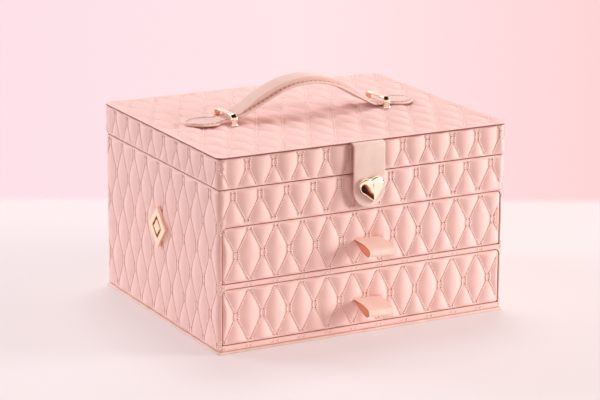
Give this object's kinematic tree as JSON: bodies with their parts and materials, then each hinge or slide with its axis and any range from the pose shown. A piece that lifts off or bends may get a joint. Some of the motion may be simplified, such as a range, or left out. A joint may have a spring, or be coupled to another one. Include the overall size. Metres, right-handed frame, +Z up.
{
  "type": "makeup storage case with drawers and handle",
  "caption": "Quilted vanity box with a hinged mirrored lid, ribbon-pull drawers, a magnetic strap clasp with a heart stud and an arched strap handle.",
  "frame": {"origin": "centre of the base, on the surface the case stands on", "axes": "+X to the right, +Y to the back, towards the hinges, +Z up"},
  "size_m": [0.295, 0.2696, 0.2131],
  "materials": {
    "rose_gold": "polished rose gold plating",
    "hinge_steel": "satin rose gold plating",
    "steel": "plain plated steel",
    "mirror": "silvered glass",
    "ribbon": "satin ribbon",
    "suede": "short brushed nap",
    "drawer_board": "paper covered board",
    "smooth_leather": "fine grained, satin",
    "quilted_leather": "soft quilted, diamond stitched, satin",
    "board": "paper covered board"
  },
  "bodies": {
    "case": {"base_panel": "smooth_leather", "base_board": "board", "drawer_shelf": "board", "compartment_floor": "board", "fascia_board": "board", "back_board": "board", "side_board_left": "board", "side_board_right": "board", "side_cover_left": "quilted_leather", "side_cover_right": "quilted_leather", "back_cover": "quilted_leather", "fascia_cover": "quilted_leather", "front_edge_trims": "smooth_leather", "compartment_lining": "suede", "divider_across": "suede", "dividers_short": "suede", "hinge_leaves_case": "hinge_steel", "hinge_screws_case": "hinge_steel", "hinge_pins": "hinge_steel", "clasp_keeper": "steel", "side_ornament": "rose_gold"},
    "lid": {"lid_front_board": "board", "lid_back_board": "board", "lid_side_board_left": "board", "lid_side_board_right": "board", "lid_side_cover_left": "quilted_leather", "lid_side_cover_right": "quilted_leather", "lid_front_cover": "quilted_leather", "lid_back_cover": "quilted_leather", "lid_top_board": "board", "lid_quilted_top": "quilted_leather", "handle_bracket_left": "rose_gold", "handle_bracket_right": "rose_gold", "bracket_backing_plates": "steel", "mirror_panel": "suede", "mirror": "mirror", "hinge_leaves_lid": "hinge_steel", "hinge_screws_lid": "hinge_steel", "clasp_root": "smooth_leather"},
    "drawer_top": {"drawer_top_quilted_face": "quilted_leather", "drawer_top_front_board": "board", "drawer_top_walls": "drawer_board", "drawer_top_bottom": "drawer_board", "drawer_top_lining": "suede", "drawer_top_ribbon_pull": "ribbon"},
    "drawer_bottom": {"drawer_bottom_quilted_face": "quilted_leather", "drawer_bottom_front_board": "board", "drawer_bottom_walls": "drawer_board", "drawer_bottom_bottom": "drawer_board", "drawer_bottom_lining": "suede", "drawer_bottom_ribbon_pull": "ribbon"},
    "clasp": {"clasp_strap": "smooth_leather", "heart_stud": "rose_gold", "clasp_magnet": "steel"},
    "handle_grip": {"handle_grip": "smooth_leather", "handle_flank_left": "smooth_leather", "handle_flank_right": "smooth_leather"},
    "handle_end_left": {"handle_end_left": "smooth_leather"},
    "handle_end_right": {"handle_end_right": "smooth_leather"}
  },
  "joints": [
    {"name": "lid_hinge", "type": "hinge", "parent": "case", "child": "lid", "pos_m": [0, 0.1214, 0.1476], "axis": [-1, 0, 0], "range_deg": [0, 100]},
    {"name": "drawer_top_slide", "type": "slide", "parent": "case", "child": "drawer_top", "axis": [0, -1, 0], "range_m": [0, 0.19]},
    {"name": "drawer_bottom_slide", "type": "slide", "parent": "case", "child": "drawer_bottom", "axis": [0, -1, 0], "range_m": [0, 0.19]},
    {"name": "clasp_flap", "type": "hinge", "parent": "lid", "child": "clasp", "pos_m": [0, -0.1213, 0.1751], "axis": [-1, 0, 0], "range_deg": [0, 95]},
    {"name": "handle_lift", "type": "slide", "parent": "lid", "child": "handle_grip", "axis": [0, 0, 1], "range_m": [-0.014, 0.014], "deforming": ["handle_flank_left", "handle_flank_right"]},
    {"name": "handle_end_left_slide", "type": "slide", "parent": "handle_grip", "child": "handle_end_left", "axis": [0.3714, 0, -0.9285], "range_m": [-0.0155, 0.0155]},
    {"name": "handle_end_right_slide", "type": "slide", "parent": "handle_grip", "child": "handle_end_right", "axis": [-0.3714, 0, -0.9285], "range_m": [-0.0155, 0.0155]}
  ],
  "couplings": [
    {"joint": "handle_end_left_slide", "follows": "handle_lift", "ratio": 1.077},
    {"joint": "handle_end_right_slide", "follows": "handle_lift", "ratio": 1.077}
  ]
}
